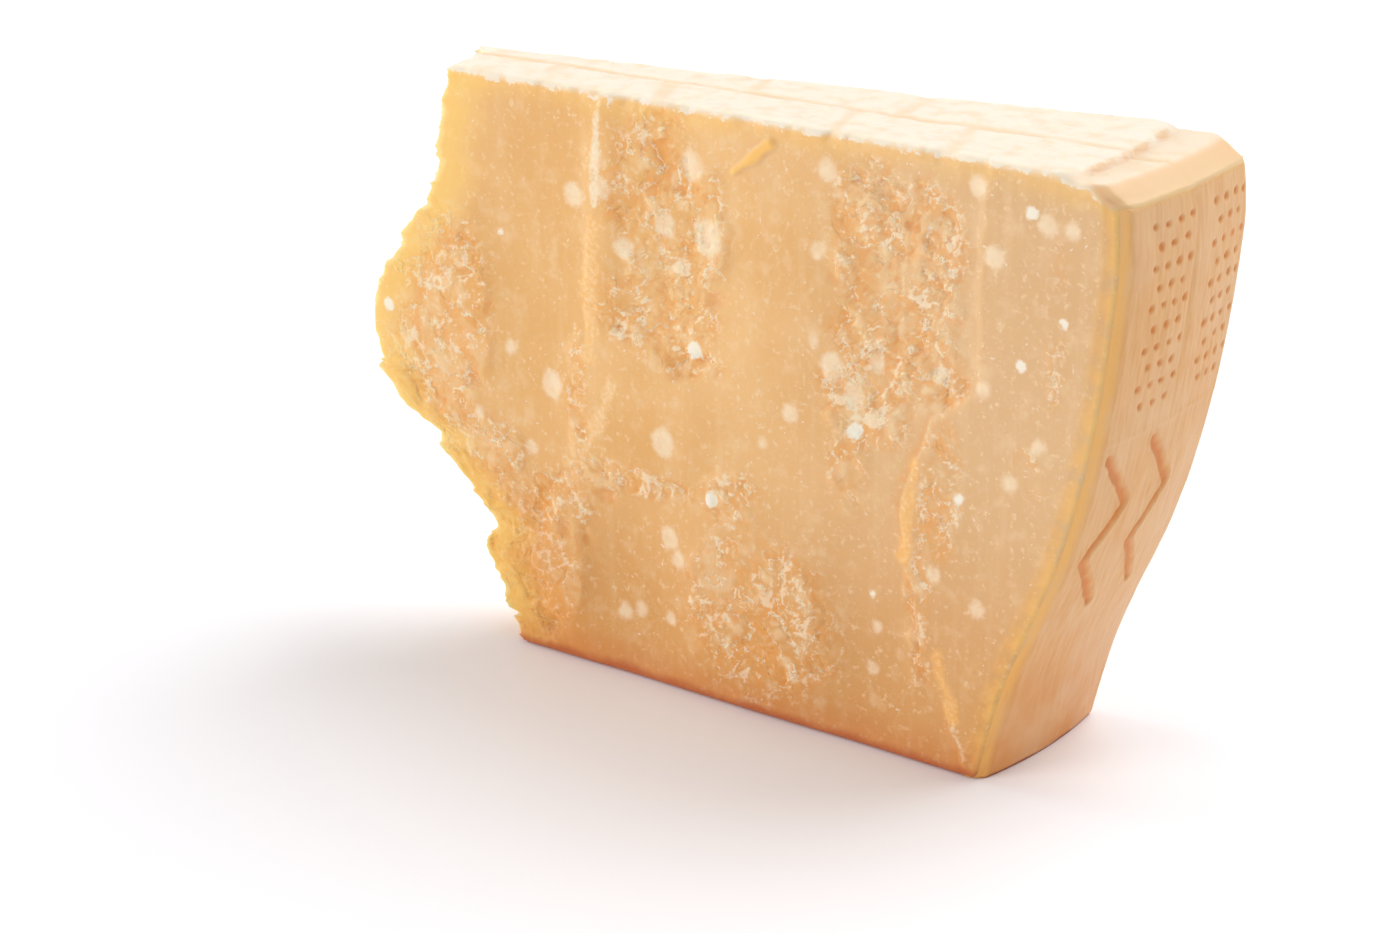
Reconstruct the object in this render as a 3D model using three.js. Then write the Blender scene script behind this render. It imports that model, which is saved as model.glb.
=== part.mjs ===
// A wedge broken out of a tall wheel of hard, granular cheese, standing on the
// flat face of the wheel. The rind is at +X, the jagged tip at -X, the broken
// face that is seen first looks along -Y. All sizes are in millimetres.

import * as THREE from 'three';
import { mergeVertices } from 'three/addons/utils/BufferGeometryUtils.js';

const { clamp, lerp, smoothstep } = THREE.MathUtils;

// The wedge as a whole
const LENGTH = 256;
const WIDTH = 66;
const HEIGHT = 180;

// The wheel that it was cut from
const WHEEL_RADIUS = 220;
const AXIS_X = LENGTH / 2 - WHEEL_RADIUS;
const AXIS_Y = 18;

// The two broken faces: the front one is square to Y, the back one is turned
const FRONT_Y = -32;
const BACK_ANGLE = THREE.MathUtils.degToRad(10);
const BACK_TIP = { x: -104, y: -8 };

// The rim of the wheel's upper face: a step down, a ledge and a slope to the rind
const STEP_DROP = 1.8;
const STEP_WIDTH = 0.8;
const LEDGE_IN_FRONT = 13.5;
const LEDGE_BEHIND = 19.5;
const SLOPE_WIDTH = 7;
const RIM_DROP = 7;
const CORNER_RADIUS = 2.5;

// How far the rind draws in from the wheel's widest radius, at heights going up
const RIND_RECESS = [[0, 34], [30, 27], [73, 12], [112, 4], [152, 0], [166, 0.4], [173, 1.2]];

// The broken tip: where the front face ends, at heights going up
const TIP_OUTLINE = [
  [0, -74], [16, -79], [30, -87], [38, -84], [47, -93], [56, -102], [64, -102], [70, -116],
  [80, -127], [97, -128], [113, -124], [121, -117], [136, -106], [150, -101], [163, -98], [180, -93],
];
const TIP_SLANT = 9;
const SLANT_FROM = 100;
const TIP_CRAG = { size: 9, rows: 2, depth: 3, seed: 5 };

// Where the big flake on the right of the front face begins, at heights going up
const FLAKE_EDGE = [
  [0, 84], [13, 78], [20, 76], [27, 69], [40, 67], [60, 63], [75, 59], [85, 60],
  [105, 67], [115, 78], [140, 78], [180, 81],
];
const FLAKE_RISE = 2.2;
const FLAKE_BREAK = 4;

// Swellings and hollows of the front face: middle, half sizes, how far out
const FRONT_FORMS = [
  { x: -108, z: 108, wide: 24, high: 42, out: 1.6 },
  { x: -65, z: 122, wide: 17, high: 56, out: -1 },
  { x: -41, z: 148, wide: 6, high: 34, out: 1.2 },
  { x: -16, z: 136, wide: 20, high: 38, out: -1.4 },
  { x: 56, z: 132, wide: 23, high: 48, out: -1.6 },
  { x: -31, z: 87, wide: 22, high: 19, out: 2.6 },
  { x: -31, z: 32, wide: 19, high: 30, out: -2.4 },
  { x: -56, z: 30, wide: 9, high: 24, out: 1.4 },
  { x: 13, z: 30, wide: 26, high: 31, out: 1.6 },
  { x: 50, z: 38, wide: 17, high: 38, out: -1.6 },
];
const FRONT_CRAGS = [
  { x: -106, z: 105, wide: 26, high: 48 },
  { x: -78, z: 28, wide: 32, high: 34 },
  { x: -16, z: 136, wide: 21, high: 42 },
  { x: 57, z: 130, wide: 24, high: 52 },
  { x: 13, z: 30, wide: 28, high: 32 },
];

// The same for the back face, which is broken in fewer, larger pieces
const BACK_FORMS = [
  { x: -70, z: 60, wide: 30, high: 34, out: 2 },
  { x: -20, z: 130, wide: 34, high: 40, out: -2.8 },
  { x: 20, z: 50, wide: 26, high: 40, out: -2.4 },
  { x: 96, z: 110, wide: 30, high: 72, out: 3.4 },
];
const BACK_CRAGS = [
  { x: -78, z: 50, wide: 34, high: 46 },
  { x: -16, z: 128, wide: 40, high: 44 },
  { x: 40, z: 36, wide: 40, high: 34 },
];
const CRAG_SIZES = [{ size: 15, depth: 2.4 }, { size: 8, depth: 1.9 }];
const SMOOTH_SHARE = 0.22;
const FULL_WITHIN = 0.7;
const NONE_BEYOND = 1.2;

// Where the relief dies down: along the rind, and near the foot
const CALM_BY_RIND = 8;
const CALM_BY_FOOT = 8;
const FOOT_SHARE = 0.3;

// How finely the surface is divided
const COLUMNS = 46;
const ROWS = 34;
const LAYERS = 9;

// A smooth curve through [position, value] pairs, read at one position
function curveAt(points, position) {
  const last = points.length - 1;
  let i = 0;
  while (i < last - 1 && points[i + 1][0] < position) i += 1;
  const slope = (a, b) => (points[b][1] - points[a][1]) / (points[b][0] - points[a][0]);
  const span = points[i + 1][0] - points[i][0];
  const t = clamp((position - points[i][0]) / span, 0, 1);
  const slopeIn = slope(Math.max(i - 1, 0), i + 1) * span;
  const slopeOut = slope(i, Math.min(i + 2, last)) * span;
  const t2 = t * t;
  const t3 = t2 * t;
  return (2 * t3 - 3 * t2 + 1) * points[i][1] + (t3 - 2 * t2 + t) * slopeIn
    + (3 * t2 - 2 * t3) * points[i + 1][1] + (t3 - t2) * slopeOut;
}

// A straight-sided line through [position, value] pairs, read at one position
function lineAt(points, position) {
  let i = 0;
  while (i < points.length - 2 && points[i + 1][0] < position) i += 1;
  const t = (position - points[i][0]) / (points[i + 1][0] - points[i][0]);
  return lerp(points[i][1], points[i + 1][1], clamp(t, 0, 1));
}

// A fixed random number from -1 to 1 for each whole-numbered point and seed
function latticeValue(i, j, seed) {
  let h = Math.imul(i, 374761393) + Math.imul(j, 668265263) + Math.imul(seed, 974634777);
  h = Math.imul(h ^ (h >>> 13), 1274126177);
  return ((h ^ (h >>> 16)) >>> 0) / 2147483648 - 1;
}

// Smooth noise between those numbers, from -1 to 1
function noise(a, b, seed) {
  const i = Math.floor(a);
  const j = Math.floor(b);
  const s = smoothstep(a - i, 0, 1);
  const t = smoothstep(b - j, 0, 1);
  const near = lerp(latticeValue(i, j, seed), latticeValue(i + 1, j, seed), s);
  const far = lerp(latticeValue(i, j + 1, seed), latticeValue(i + 1, j + 1, seed), s);
  return lerp(near, far, t);
}

// 1 inside a rounded patch, falling to 0 just outside it
function patch(form, x, z) {
  const reach = Math.hypot((x - form.x) / form.wide, (z - form.z) / form.high);
  return 1 - smoothstep(reach, FULL_WITHIN, NONE_BEYOND);
}

// How far a broken face stands out from its plane
function brokenRelief(x, z, forms, crags, seed) {
  const swell = forms.reduce((sum, form) => sum + form.out * patch(form, x, z), 0);
  const rough = crags.reduce((most, crag) => Math.max(most, patch(crag, x, z)), SMOOTH_SHARE);
  const grain = CRAG_SIZES.reduce(
    (sum, crag, i) => sum + crag.depth * noise(x / crag.size, z / crag.size, seed + i), 0);
  return swell + rough * grain;
}

function flakeRelief(x, z) {
  const edge = lineAt(FLAKE_EDGE, z);
  return FLAKE_RISE * smoothstep(x, edge, edge + FLAKE_BREAK);
}

const backY = (x) => BACK_TIP.y + (x - BACK_TIP.x) * Math.tan(BACK_ANGLE);

function tipX(z, across) {
  const crag = TIP_CRAG.depth * noise(z / TIP_CRAG.size, across * TIP_CRAG.rows, TIP_CRAG.seed);
  const slant = TIP_SLANT * smoothstep(z, SLANT_FROM, HEIGHT);
  return lineAt(TIP_OUTLINE, z) + (crag - slant) * across;
}

// The rind's X at a depth and a height, drawn in round both upright corners
function rindX(y, z, across) {
  const radius = WHEEL_RADIUS - curveAt(RIND_RECESS, z);
  const arc = AXIS_X + Math.sqrt(radius * radius - (y - AXIS_Y) ** 2);
  const thickness = backY(arc) - FRONT_Y;
  const toCorner = clamp(Math.min(across, 1 - across) * thickness / CORNER_RADIUS, 0, 1);
  return arc - CORNER_RADIUS * (1 - Math.sqrt(1 - (1 - toCorner) ** 2));
}

// The last columns follow the rim: top of the step, its foot, the slope and the rind
const ledge = (across) => lerp(LEDGE_IN_FRONT, LEDGE_BEHIND, across);
const RIM_COLUMNS = [
  { inward: (across) => ledge(across) + STEP_WIDTH, drop: 0 },
  { inward: (across) => ledge(across), drop: STEP_DROP },
  { inward: () => SLOPE_WIDTH, drop: STEP_DROP },
  { inward: () => 0, drop: RIM_DROP },
];
const EVEN_COLUMNS = COLUMNS - RIM_COLUMNS.length + 1;

// The point of the wedge's surface for a column, a depth and a height
function surfacePoint(column, across, up) {
  const rimZ = up * (HEIGHT - RIM_DROP);
  const rimY = lerp(FRONT_Y, backY(LENGTH / 2), across);
  const rindAt = rindX(rimY, rimZ, across);
  const rim = RIM_COLUMNS[Math.max(column - EVEN_COLUMNS, 0)];
  const rimAt = rindAt - rim.inward(across);
  const tipAt = tipX(up * HEIGHT, across);
  const x = lerp(tipAt, rimAt, Math.min(column / EVEN_COLUMNS, 1));
  const z = up * (HEIGHT - (column < EVEN_COLUMNS ? 0 : rim.drop));

  const byFoot = lerp(FOOT_SHARE, 1, smoothstep(z, 0, CALM_BY_FOOT));
  const calm = smoothstep(rindAt - x, 0, CALM_BY_RIND) * byFoot;
  const frontOut = brokenRelief(x, z, FRONT_FORMS, FRONT_CRAGS, 1) + flakeRelief(x, z);
  const backOut = brokenRelief(x, z, BACK_FORMS, BACK_CRAGS, 11);
  const front = FRONT_Y - calm * frontOut;
  const back = backY(x) + calm * backOut;
  const y = lerp(front, back, across);
  return [clamp(x, -LENGTH / 2, LENGTH / 2), clamp(y, -WIDTH / 2, WIDTH / 2), z];
}

// A finely divided box, with each of its points moved to the wedge's surface
function wedgeGeometry() {
  const box = new THREE.BoxGeometry(1, 1, 1, COLUMNS, LAYERS, ROWS);
  box.deleteAttribute('normal');
  box.deleteAttribute('uv');
  const wedge = mergeVertices(box);
  const points = wedge.attributes.position;
  for (let i = 0; i < points.count; i += 1) {
    const column = Math.round((points.getX(i) + 0.5) * COLUMNS);
    const layer = (points.getY(i) + 0.5) * Math.PI;
    const across = (1 - Math.cos(layer)) / 2;
    points.setXYZ(i, ...surfacePoint(column, across, points.getZ(i) + 0.5));
  }
  wedge.computeVertexNormals();
  return wedge;
}

const paste = new THREE.MeshStandardMaterial({
  color: 0xedc48a, roughness: 0.55, metalness: 0, flatShading: true,
});
const cheese = new THREE.Mesh(wedgeGeometry(), paste);
cheese.name = 'cheese';

const wedge = new THREE.Group();
wedge.add(cheese);

export default wedge;
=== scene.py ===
"""A tall wedge of hard, granular cheese: broken paste, white crystals, a pricked
and carved rind, and the dusty upper face of the wheel. Lengths are in millimetres
in the shape code and in metres in Blender."""
import math

import bpy
import numpy as np
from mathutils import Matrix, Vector


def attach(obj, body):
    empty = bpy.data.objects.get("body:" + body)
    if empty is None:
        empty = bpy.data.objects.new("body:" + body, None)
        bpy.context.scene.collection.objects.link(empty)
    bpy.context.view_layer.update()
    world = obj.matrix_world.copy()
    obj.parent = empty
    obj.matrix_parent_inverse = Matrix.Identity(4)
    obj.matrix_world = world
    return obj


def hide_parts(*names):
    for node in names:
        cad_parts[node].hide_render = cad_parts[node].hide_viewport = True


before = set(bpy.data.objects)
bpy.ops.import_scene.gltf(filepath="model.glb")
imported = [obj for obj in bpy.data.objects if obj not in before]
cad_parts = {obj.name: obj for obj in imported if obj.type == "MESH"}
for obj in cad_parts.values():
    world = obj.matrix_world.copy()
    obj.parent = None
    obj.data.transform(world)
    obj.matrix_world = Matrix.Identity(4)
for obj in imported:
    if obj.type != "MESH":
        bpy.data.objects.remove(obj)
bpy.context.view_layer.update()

MM = 0.001

# The wedge, the wheel it was cut from and its two broken faces
LENGTH, WIDTH, HEIGHT = 256.0, 66.0, 180.0
WHEEL_RADIUS = 220.0
AXIS_X, AXIS_Y = LENGTH / 2 - WHEEL_RADIUS, 18.0
FRONT_Y = -32.0
BACK_SLOPE = math.tan(math.radians(10))
BACK_TIP_X, BACK_TIP_Y = -104.0, -8.0

# The rim of the wheel's upper face, and the rounded corners of the wedge
STEP_DROP, STEP_WIDTH, STEP_SOFTNESS = 1.8, 0.8, 3.0
LEDGE_IN_FRONT, LEDGE_BEHIND = 13.5, 19.5
SLOPE_WIDTH, RIM_DROP = 7.0, 7.0
CORNER_RADIUS, EDGE_RADIUS = 2.5, 1.6

# Where the relief dies down: along the rind, and near the foot
CALM_BY_RIND, CALM_BY_FOOT, FOOT_SHARE = 8.0, 8.0, 0.3

# Positions and values going up the wedge
RIND_RECESS = [(0, 34), (30, 27), (73, 12), (112, 4), (152, 0), (166, 0.4), (173, 1.2)]
TIP_OUTLINE = [
    (0, -74), (16, -79), (30, -87), (38, -84), (47, -93), (56, -102), (64, -102), (70, -116),
    (80, -127), (97, -128), (113, -124), (121, -117), (136, -106), (150, -101), (163, -98), (180, -93),
]
TIP_SLANT, SLANT_FROM = 9.0, 100.0

# The big flake on the right of the front face: where it begins, going up, and where its edge is sharp
FLAKE_EDGE = [
    (0, 84), (13, 78), (20, 76), (27, 69), (40, 67), (60, 63), (75, 59), (85, 60),
    (105, 67), (115, 78), (140, 78), (180, 81),
]
FLAKE_RISE = 3.0
FLAKE_SOFT_FROM, FLAKE_SHARP_BELOW, FLAKE_SWAY = 118, 90, 2.5

# Swellings and hollows of the broken faces: x, z, half width, half height, how far out
FRONT_FORMS = [
    (-108, 108, 24, 42, 1.6), (-65, 122, 17, 56, -1.0), (-41, 148, 6, 34, 1.2),
    (-16, 136, 20, 38, -1.4), (56, 132, 23, 48, -1.6), (-31, 87, 22, 19, 2.6),
    (-31, 32, 19, 30, -2.4), (-56, 30, 9, 24, 1.4), (13, 30, 26, 31, 1.6), (50, 38, 17, 38, -1.6),
]
BACK_FORMS = [
    (-70, 60, 30, 34, 2.0), (-20, 130, 34, 40, -2.8), (20, 50, 26, 40, -2.4), (96, 110, 30, 72, 3.4),
]

# Where the paste tore in grains: x, z, half width, half height, how strongly
FRONT_TORN = [
    (-103, 103, 22, 40, 1.0), (-88, 62, 20, 14, 0.8), (-71, 28, 23, 35, 1.0), (-58, 50, 16, 14, 0.8),
    (-41, 150, 6, 30, 0.5), (-23, 152, 21, 27, 0.9), (-8, 150, 13, 24, 0.8), (-23, 118, 25, 14, 0.85),
    (-13, 105, 16, 6, 0.9), (-51, 85, 5, 27, 0.6), (-33, 64, 31, 6, 0.8), (2, 66, 15, 11, 0.55),
    (12, 30, 27, 29, 0.9), (47, 150, 15, 28, 0.8), (62, 143, 17, 32, 0.95), (47, 108, 17, 17, 0.9),
    (67, 120, 13, 15, 0.8), (52, 125, 19, 15, 0.9), (42, 88, 8, 23, 0.5), (72, 85, 8, 23, 0.7),
    (65, 50, 6, 27, 0.5), (105, 138, 5, 27, 0.5), (97, 93, 8, 18, 0.35),
]
BACK_TORN = [
    (-78, 50, 34, 46, 1.0), (-16, 128, 40, 44, 0.9), (40, 36, 40, 34, 0.9), (84, 150, 20, 24, 0.7),
    (20, 80, 20, 30, 0.5), (-70, 140, 26, 30, 0.4),
]

# Where a swelling and a torn zone fall off, as shares of their half sizes
SWELL_FALL, TORN_FALL = (0.2, 1.5), (0.45, 1.35)

# The crumbs of a torn zone: size, and how far out. Its flakes: size, steps, and how far out
CRUMBS = [(11.0, 0.4), (5.2, 0.3), (2.6, 0.2)]
BROAD_FLAKES, SMALL_FLAKES, CLEAN_FLAKES = (16, 3, 1.6), (6.5, 3, 0.8), (15, 2, 0.15)

# The crags of the tip's outline: size, and how far out
TIP_CRAGS, TIP_CRUMBS = [(8, 2.2), (3.6, 1.3)], (6.0, 1.5)

# Shallow holes in the front face: x, z, radius, depth
FRONT_PITS = [
    (-14, 104, 5.5, 1.08), (-8, 106, 3.5, 0.9), (51, 166, 3.5, 1.08), (44, 168, 2.8, 0.9),
    (67, 155, 3.6, 0.9), (60, 158, 2.6, 0.72), (-91, 85, 4.2, 0.99), (-106, 120, 4.2, 0.9),
    (-57, 43, 4.0, 1.08), (-49, 41, 3.4, 0.99), (7, 30, 3.2, 0.99), (-63, 10, 6.0, 0.99),
    (-25, 155, 4.0, 0.63), (70, 76, 3.0, 0.63), (-3, 125, 4.0, 0.63), (36, 138, 3.0, 0.585),
    (-101, 75, 3.8, 0.72), (-43, 57, 3.6, 0.63), (-19, 160, 3.0, 0.54), (-110, 97, 3.0, 0.63),
]

# Thin ridges and curled flakes on the front face: start, end, half width, how far out, how yellow
RIDGES = [
    ((-44, 146), (-42, 177), 1.7, 1.0, 0.0), ((-47, 98), (-45, 140), 3.2, 0.9, 0.45),
    ((4, 164), (16, 174), 1.5, 2.0, 1.0), ((-50, 66), (-38, 92), 2.6, 0.8, 0.35),
    ((78, 18), (73, 36), 2.2, 0.8, 0.6), ((60, 62), (64, 92), 2.2, 0.8, 0.6),
]

# The larger crystals on the front face: x, z, radius. Those of the second list are brighter
CRYSTALS = [
    (-52, 148, 3.4), (-34, 135, 3.2), (-20, 144, 3.6), (-5, 143, 4.8), (-11, 163, 4.0),
    (-61, 88, 4.0), (-20, 79, 4.0), (-19, 48, 3.4), (-16, 42, 2.4), (-30, 22, 2.5),
    (-36, 20, 2.4), (-19, 22, 1.9), (-69, 66, 2.0), (23, 97, 2.5), (36, 113, 4.0),
    (43, 106, 3.4), (50, 117, 2.4), (34, 169, 3.0), (86, 154, 3.0), (101, 165, 2.6),
    (108, 165, 2.3), (84, 117, 2.4), (80, 172, 2.8), (93, 92, 2.4), (101, 104, 2.2),
    (85, 53, 2.4), (52, 38, 1.6), (71, 60, 2.0), (51, 25, 2.0), (-41, 152, 3.0), (-88, 74, 1.8),
    (31, 146, 2.4), (14, 86, 1.6), (30, 120, 1.8), (-76, 97, 2.0), (70, 118, 2.4),
]
BRIGHT_CRYSTALS = [
    (-10, 109, 2.6), (44, 96, 2.4), (96, 168, 1.8), (78, 84, 1.7), (95, 126, 1.6),
    (-79, 132, 0.9), (-122, 102, 2.0), (50, 48, 1.1), (-3, 65, 2.2), (107, 140, 1.4),
]

# The chips along the upper edges: how deep, how far down, and where they begin, going in from the rind
CHIP_DEPTH, CHIP_STEP_DEPTH = 1.9, 1.5
CHIP_REACH, CHIP_FROM, CHIP_FULL = 5.5, 14, 30

# The wheel's upper face: a long line that crosses it, and short grooves on one side of it (x, side)
LINE_Y, LINE_SLOPE, LINE_FROM = -15, 0.055, -100
SHORT_GROOVES = [(-72, 1), (-34, 1), (-10, -1), (26, 1), (41, -1), (63, 1)]
IMPRINT_DEPTH = 0.5

# The rind's skin: how far it is let into the paste, and how it lies at its border
SKIN_INSET, SIDE_INSET, SKIN_THICKNESS = 2.6, 0.5, 3.0
SKIN_PROUD, BORDER_SUNK = 0.3, 0.9
SKIN_FOOT, SKIN_CLEAR, SKIN_BEGINS = 0.3, 1.0, (4.5, 8)

# What is pressed and carved into the rind, as depths from the front face and heights
DOT_BANDS = (21.0, 51.0)
DOT_TOP, DOT_ROWS, DOT_PITCH = 165.5, 10, 5.6
DOT_RADIUS, DOT_DEPTH = 1.35, 0.65
GROOVE_WIDTH, GROOVE_DEPTH = 1.6, 0.95
ZIGZAGS = [
    [(6, 102), (19, 86), (8, 70), (20, 54)],
    [(27, 102), (40, 86), (29, 70), (41, 54)],
]
SEAM_HEIGHT, SEAM_RISE = 107, 0.3
CREASE_AT, CREASE_FROM, CREASE_DEPTH = 32, 108, 0.4

# How finely the two surfaces are divided; every count is a multiple of 4
COARSE = 1
PASTE_COLUMNS, PASTE_LAYERS, PASTE_ROWS = 288 // COARSE, 44 // COARSE, 200 // COARSE
RIND_LAYERS, RIND_ROWS = 112 // COARSE, 300 // COARSE


# Numbers and noise

def smoothstep(low, high, value):
    t = np.clip((value - low) / (high - low), 0, 1)
    return t * t * (3 - 2 * t)


def lerp(a, b, t):
    return a + (b - a) * t


def line_at(points, position):
    """A straight-sided line through (position, value) pairs."""
    places, values = zip(*points)
    return np.interp(position, places, values)


def curve_at(points, position):
    """A smooth curve through (position, value) pairs."""
    x, y = (np.array(column, float) for column in zip(*points))
    i = np.clip(np.searchsorted(x, position, side="left") - 1, 0, len(x) - 2)
    span = x[i + 1] - x[i]
    t = np.clip((position - x[i]) / span, 0, 1)
    before, after = np.maximum(i - 1, 0), np.minimum(i + 2, len(x) - 1)
    slope_in = (y[i + 1] - y[before]) / (x[i + 1] - x[before]) * span
    slope_out = (y[after] - y[i]) / (x[after] - x[i]) * span
    t2, t3 = t * t, t * t * t
    return ((2 * t3 - 3 * t2 + 1) * y[i] + (t3 - 2 * t2 + t) * slope_in
            + (3 * t2 - 2 * t3) * y[i + 1] + (t3 - t2) * slope_out)


def lattice(cell, seed):
    """A fixed random number from 0 to 1 for each whole-numbered point."""
    i, j, k = cell
    h = (i * 374761393 + j * 668265263 + k * 1103515245 + seed * 974634777) & 0xFFFFFFFF
    h = ((h ^ (h >> 13)) * 1274126177) & 0xFFFFFFFF
    return ((h ^ (h >> 16)) & 0xFFFFFF) / 0x1000000


def noise(points, size, seed):
    """Smooth noise from -1 to 1, with bumps about as wide as size."""
    scaled = points.T / size
    cell = np.floor(scaled).astype(np.int64)
    t = scaled - cell
    t = t * t * (3 - 2 * t)
    total = 0.0
    for a in (0, 1):
        for b in (0, 1):
            for c in (0, 1):
                weight = (t[0] if a else 1 - t[0]) * (t[1] if b else 1 - t[1]) * (t[2] if c else 1 - t[2])
                total = total + weight * lattice((cell[0] + a, cell[1] + b, cell[2] + c), seed)
    return total * 2 - 1


def layered_noise(points, size, seed, octaves=3):
    total, share, whole = 0.0, 1.0, 0.0
    for octave in range(octaves):
        total = total + share * noise(points, size / 2 ** octave, seed + octave)
        whole += share
        share *= 0.5
    return total / whole


def grains(points, size, seed, waviness=0.35):
    """Tilted facets with cracks between them, as in torn cheese, from about -1 to 1."""
    bent = points + waviness * size * np.stack(
        [noise(points, size * 0.8, seed + 20 + axis) for axis in range(3)], axis=1)
    scaled = bent.T / size
    home = np.floor(scaled).astype(np.int64)
    nearest = np.full(len(points), 9.0)
    second = np.full(len(points), 9.0)
    facet = np.zeros(len(points))
    for a in (-1, 0, 1):
        for b in (-1, 0, 1):
            for c in (-1, 0, 1):
                cell = (home[0] + a, home[1] + b, home[2] + c)
                away = [scaled[n] - cell[n] - lattice(cell, seed + n) for n in range(3)]
                distance = np.sqrt(away[0] ** 2 + away[1] ** 2 + away[2] ** 2)
                tilt = sum((lattice(cell, seed + 4 + n) - 0.5) * away[n] for n in range(3))
                value = 2.2 * tilt + 0.9 * (lattice(cell, seed + 3) - 0.5)
                closer = distance < nearest
                second = np.where(closer, nearest, np.minimum(second, distance))
                facet = np.where(closer, value, facet)
                nearest = np.where(closer, distance, nearest)
    crack = 1 - smoothstep(0.0, 0.16, second - nearest)
    return facet - 0.45 * crack


def terraces(points, size, steps, seed):
    """Noise cut into flat flakes with steep edges, from about -1 to 1, and where the edges are."""
    level = layered_noise(points, size, seed, 4) * steps
    part = level - np.floor(level)
    height = (np.floor(level) + smoothstep(0.0, 0.2, part)) / steps
    return height, smoothstep(0.05, 0.18, part) * smoothstep(0.45, 0.25, part)


def to_segment(a, b, start, end):
    """The distance of points from a straight stroke."""
    run = np.array(end, float) - start
    t = ((a - start[0]) * run[0] + (b - start[1]) * run[1]) / (run @ run)
    t = np.clip(t, 0, 1)
    return np.hypot(a - start[0] - t * run[0], b - start[1] - t * run[1])


def patch(x, z, form, fall):
    """1 inside a rounded patch, falling to 0 outside it over the given share of its size."""
    return 1 - smoothstep(*fall, np.hypot((x - form[0]) / form[2], (z - form[1]) / form[3]))


# The wedge's surface

def back_y(x):
    return BACK_TIP_Y + (x - BACK_TIP_X) * BACK_SLOPE


def broken_face(x, z, forms, torn, seed):
    """How far a broken face stands out, and its fields: how torn, cracked and frayed it is."""
    flat = np.stack([x, np.full_like(x, seed * 50.0), z], axis=1)
    swell = sum(form[4] * patch(x, z, form, SWELL_FALL) for form in forms)
    reach = np.max([area[4] * patch(x, z, area, TORN_FALL) for area in torn], axis=0)
    edge = 0.7 * layered_noise(flat, 22, seed + 60, 5) + 0.3 * layered_noise(flat, 5, seed + 65)
    rough = smoothstep(0.2, 0.75, reach + edge * np.minimum(1, 0.35 + reach))
    coarse, middle, fine = (grains(flat, size, seed + 10 * n) for n, (size, _) in enumerate(CRUMBS))
    crumbs_out = sum(out * crumbs for (_, out), crumbs in zip(CRUMBS, (coarse, middle, fine)))
    broad, broad_edge = terraces(flat, *BROAD_FLAKES[:2], seed + 40)
    small, small_edge = terraces(flat, *SMALL_FLAKES[:2], seed + 44)
    clean, clean_edge = terraces(flat, *CLEAN_FLAKES[:2], seed + 48)
    torn_out = crumbs_out + BROAD_FLAKES[2] * broad + SMALL_FLAKES[2] * small
    clean_out = 0.5 * layered_noise(flat, 34, seed + 50) + CLEAN_FLAKES[2] * clean
    mixed = coarse + 0.9 * middle + 0.6 * fine
    fray = lerp(0.35 * clean_edge, np.maximum(broad_edge, 0.8 * small_edge), rough)
    fields = {
        "torn": rough,
        # crack and deep also mark where the material paints shade into the torn relief
        "crack": 0.5 * rough * smoothstep(0.3, 1.7, -mixed),
        "deep": rough * smoothstep(-0.1, 1.5, -torn_out),
        # raised marks where the material paints a highlight on the torn relief
        "raised": rough * smoothstep(0.1, 1.5, torn_out),
        "fray": fray * smoothstep(-0.3, 0.3, layered_noise(flat, 7, seed + 55)),
    }
    return swell + lerp(clean_out, torn_out, rough) + 0.3 * rough, fields


def front_face(x, z):
    """The front broken face, with its big flake, its holes and its ridges."""
    out, fields = broken_face(x, z, FRONT_FORMS, FRONT_TORN, 1)
    flat = np.stack([x, np.zeros_like(x), z], axis=1)
    edge = line_at(FLAKE_EDGE, z) + FLAKE_SWAY * layered_noise(flat, 9, 70)
    sharp = smoothstep(FLAKE_SOFT_FROM, FLAKE_SHARP_BELOW, z)
    rise = smoothstep(-0.3, 1.2, x - edge)
    out = out + FLAKE_RISE * lerp(smoothstep(0, 9, x - edge), rise, sharp)
    # The crack field also carries painted shade: under the big flake's edge here, and in the holes below
    under = smoothstep(4.0, 0, edge - x) * (x < edge) * sharp
    crack = np.maximum(fields["crack"], 0.7 * under)
    # The flake's lip: its pale colour is partly frayed paste and partly a painted highlight
    lip = smoothstep(0.2, 1.2, x - edge) * smoothstep(4.2, 1.2, x - edge) * sharp
    lip = 0.75 * lip * smoothstep(-0.35, 0.3, layered_noise(flat, 7, 71))
    for px, pz, radius, depth in FRONT_PITS:
        away = np.hypot(x - px, z - pz) / radius + 0.7 * layered_noise(flat, 5, 75)
        hole = 1 - smoothstep(0.3, 1.0, away)
        out = out - depth * hole
        crack = np.maximum(crack, 0.75 * hole)
    pale, yellow = np.zeros_like(x), np.zeros_like(x)
    # The pale and yellow colour of the ridges is partly a painted highlight along them
    for start, end, half, height, gold in RIDGES:
        sway = 2.0 * layered_noise(flat, 16, 78)
        away = to_segment(x + sway, z + sway, start, end) / half + 0.7 * layered_noise(flat, 5, 77)
        ridge = 1 - smoothstep(0.3, 1.3, away)
        out = out + height * ridge
        pale = np.maximum(pale, (1 - gold) * ridge)
        yellow = np.maximum(yellow, gold * ridge)
    fray = np.maximum(fields["fray"] * (1 - crack), lip)
    return out, {**fields, "crack": crack, "fray": fray, "pale": pale, "yellow": yellow}


def back_face(x, z):
    out, fields = broken_face(x, z, BACK_FORMS, BACK_TORN, 11)
    return out, {**fields, "pale": np.zeros_like(x), "yellow": np.zeros_like(x)}


def tip_x(z, across):
    """Where the broken tip ends, with its crags."""
    along = np.stack([z, across * 22, np.zeros_like(z)], axis=1)
    crag = sum(out * noise(along, size, 80 + n) for n, (size, out) in enumerate(TIP_CRAGS))
    crag = crag + TIP_CRUMBS[1] * grains(along, TIP_CRUMBS[0], 82)
    return line_at(TIP_OUTLINE, z) - TIP_SLANT * across * smoothstep(SLANT_FROM, HEIGHT, z) + crag


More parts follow.
